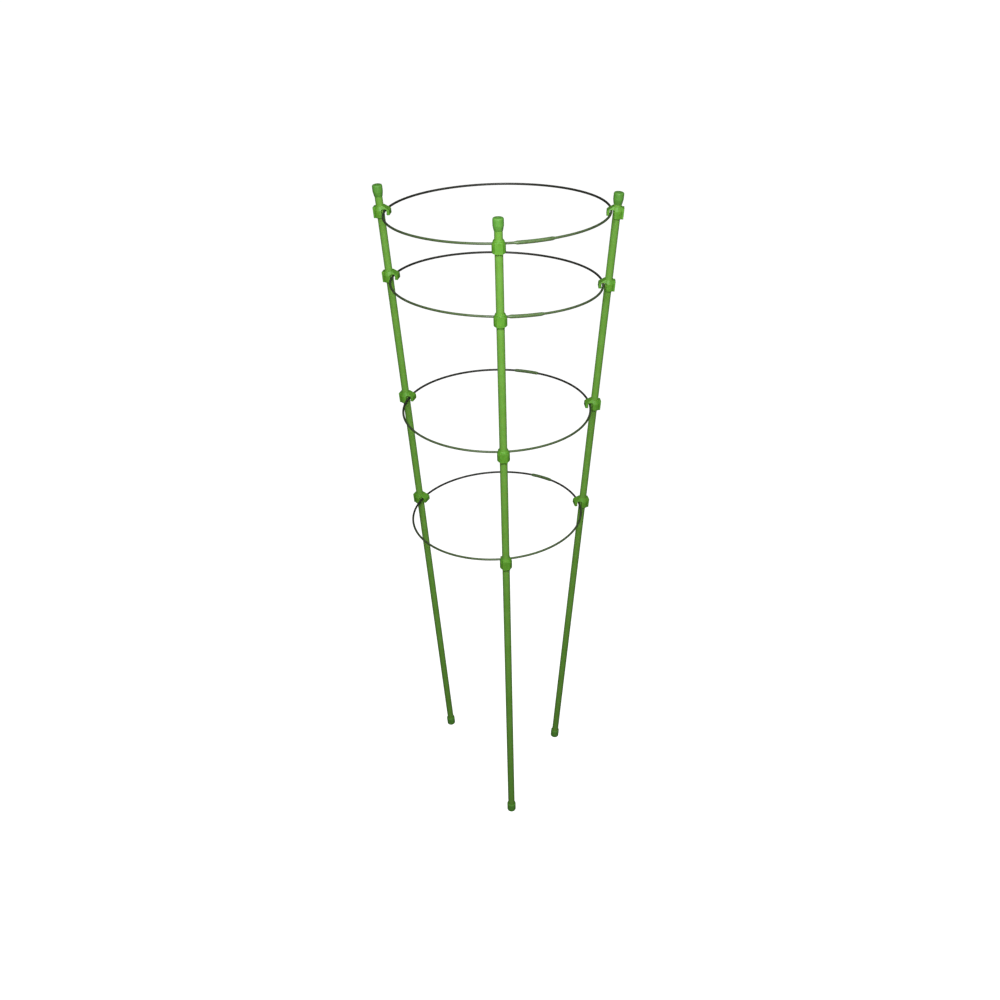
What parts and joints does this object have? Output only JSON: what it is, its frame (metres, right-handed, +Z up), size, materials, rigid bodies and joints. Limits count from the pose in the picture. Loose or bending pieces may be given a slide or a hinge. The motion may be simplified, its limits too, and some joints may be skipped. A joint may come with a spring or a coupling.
{
  "type": "plant support cage",
  "caption": "Free-standing plant-support cage: coated stakes that lean outwards and wire rings held in sliding hook clips, widest at the top.",
  "frame": {"origin": "on the ground, under the middle of the whole cage's box", "axes": "+Z up; the front stake is on the -Y side, the left stake on -X and the right stake on +X"},
  "size_m": [0.2516, 0.2429, 0.7495],
  "materials": {
    "stake_steel": "drawn, sealed inside the coat",
    "stake_coat": "satin extruded polyethylene",
    "cap_plastic": "satin moulded polyethylene",
    "wire_steel": "drawn, sealed inside the coat",
    "wire_coat": "satin dark green coat",
    "sleeve_plastic": "shrunk plastic sleeve",
    "clip_plastic": "moulded polypropylene"
  },
  "bodies": {
    "stakes": {"stake_front_coat": "stake_coat", "stake_front_foot_cap": "cap_plastic", "stake_front_top_cap": "cap_plastic", "stake_front_tube": "stake_steel", "stake_left_coat": "stake_coat", "stake_left_foot_cap": "cap_plastic", "stake_left_top_cap": "cap_plastic", "stake_left_tube": "stake_steel", "stake_right_coat": "stake_coat", "stake_right_foot_cap": "cap_plastic", "stake_right_top_cap": "cap_plastic", "stake_right_tube": "stake_steel"},
    "ring_1": {"ring_1_coat": "wire_coat", "ring_1_core": "wire_steel", "ring_1_sleeve": "sleeve_plastic"},
    "clip_left_1": {"clip_left_1": "clip_plastic"},
    "clip_front_1": {"clip_front_1": "clip_plastic"},
    "clip_right_1": {"clip_right_1": "clip_plastic"},
    "ring_2": {"ring_2_coat": "wire_coat", "ring_2_core": "wire_steel", "ring_2_sleeve": "sleeve_plastic"},
    "clip_left_2": {"clip_left_2": "clip_plastic"},
    "clip_front_2": {"clip_front_2": "clip_plastic"},
    "clip_right_2": {"clip_right_2": "clip_plastic"},
    "ring_3": {"ring_3_coat": "wire_coat", "ring_3_core": "wire_steel", "ring_3_sleeve": "sleeve_plastic"},
    "clip_left_3": {"clip_left_3": "clip_plastic"},
    "clip_front_3": {"clip_front_3": "clip_plastic"},
    "clip_right_3": {"clip_right_3": "clip_plastic"},
    "ring_4": {"ring_4_coat": "wire_coat", "ring_4_core": "wire_steel", "ring_4_sleeve": "sleeve_plastic"},
    "clip_left_4": {"clip_left_4": "clip_plastic"},
    "clip_front_4": {"clip_front_4": "clip_plastic"},
    "clip_right_4": {"clip_right_4": "clip_plastic"}
  },
  "joints": [
    {"name": "ring_1_slide", "type": "slide", "parent": "stakes", "child": "ring_1", "axis": [-0.0121, 0.0353, 0.9993], "range_m": [-0.004, 0.001]},
    {"name": "clip_left_1_slide", "type": "slide", "parent": "stakes", "child": "clip_left_1", "axis": [-0.0967, -0.0553, 0.9938], "range_m": [-0.00421, 0.0012]},
    {"name": "clip_front_1_slide", "type": "slide", "parent": "stakes", "child": "clip_front_1", "axis": [-0.0407, -0.0267, 0.9988], "range_m": [-0.0042, 0.0012]},
    {"name": "clip_right_1_slide", "type": "slide", "parent": "stakes", "child": "clip_right_1", "axis": [0.0353, -0.0693, 0.997], "range_m": [-0.00422, 0.0012]},
    {"name": "ring_2_slide", "type": "slide", "parent": "stakes", "child": "ring_2", "axis": [-0.0127, 0.0298, 0.9995], "range_m": [-0.004, 0.004]},
    {"name": "clip_left_2_slide", "type": "slide", "parent": "stakes", "child": "clip_left_2", "axis": [-0.0967, -0.0553, 0.9938], "range_m": [-0.00422, 0.00422]},
    {"name": "clip_front_2_slide", "type": "slide", "parent": "stakes", "child": "clip_front_2", "axis": [-0.0407, -0.0267, 0.9988], "range_m": [-0.0042, 0.0042]},
    {"name": "clip_right_2_slide", "type": "slide", "parent": "stakes", "child": "clip_right_2", "axis": [0.0353, -0.0693, 0.997], "range_m": [-0.00422, 0.00422]},
    {"name": "ring_3_slide", "type": "slide", "parent": "stakes", "child": "ring_3", "axis": [-0.013, 0.02, 0.9997], "range_m": [-0.004, 0.004]},
    {"name": "clip_left_3_slide", "type": "slide", "parent": "stakes", "child": "clip_left_3", "axis": [-0.0967, -0.0553, 0.9938], "range_m": [-0.00421, 0.00421]},
    {"name": "clip_front_3_slide", "type": "slide", "parent": "stakes", "child": "clip_front_3", "axis": [-0.0407, -0.0267, 0.9988], "range_m": [-0.0042, 0.0042]},
    {"name": "clip_right_3_slide", "type": "slide", "parent": "stakes", "child": "clip_right_3", "axis": [0.0353, -0.0693, 0.997], "range_m": [-0.00421, 0.00421]},
    {"name": "ring_4_slide", "type": "slide", "parent": "stakes", "child": "ring_4", "axis": [-0.013, 0.0117, 0.9998], "range_m": [-0.004, 0.004]},
    {"name": "clip_left_4_slide", "type": "slide", "parent": "stakes", "child": "clip_left_4", "axis": [-0.0967, -0.0553, 0.9938], "range_m": [-0.0042, 0.0042]},
    {"name": "clip_front_4_slide", "type": "slide", "parent": "stakes", "child": "clip_front_4", "axis": [-0.0407, -0.0267, 0.9988], "range_m": [-0.00419, 0.00419]},
    {"name": "clip_right_4_slide", "type": "slide", "parent": "stakes", "child": "clip_right_4", "axis": [0.0353, -0.0693, 0.997], "range_m": [-0.00422, 0.00422]}
  ],
  "couplings": [
    {"joint": "clip_left_1_slide", "follows": "ring_1_slide", "ratio": 1.0016},
    {"joint": "clip_front_1_slide", "follows": "ring_1_slide", "ratio": 0.99901},
    {"joint": "clip_right_1_slide", "follows": "ring_1_slide", "ratio": 1.0039},
    {"joint": "clip_left_2_slide", "follows": "ring_2_slide", "ratio": 1.0059},
    {"joint": "clip_front_2_slide", "follows": "ring_2_slide", "ratio": 1.001},
    {"joint": "clip_right_2_slide", "follows": "ring_2_slide", "ratio": 1.0038},
    {"joint": "clip_left_3_slide", "follows": "ring_3_slide", "ratio": 1.0015},
    {"joint": "clip_front_3_slide", "follows": "ring_3_slide", "ratio": 0.99889},
    {"joint": "clip_right_3_slide", "follows": "ring_3_slide", "ratio": 1.0021},
    {"joint": "clip_left_4_slide", "follows": "ring_4_slide", "ratio": 0.99955},
    {"joint": "clip_front_4_slide", "follows": "ring_4_slide", "ratio": 0.9986},
    {"joint": "clip_right_4_slide", "follows": "ring_4_slide", "ratio": 1.0046}
  ]
}
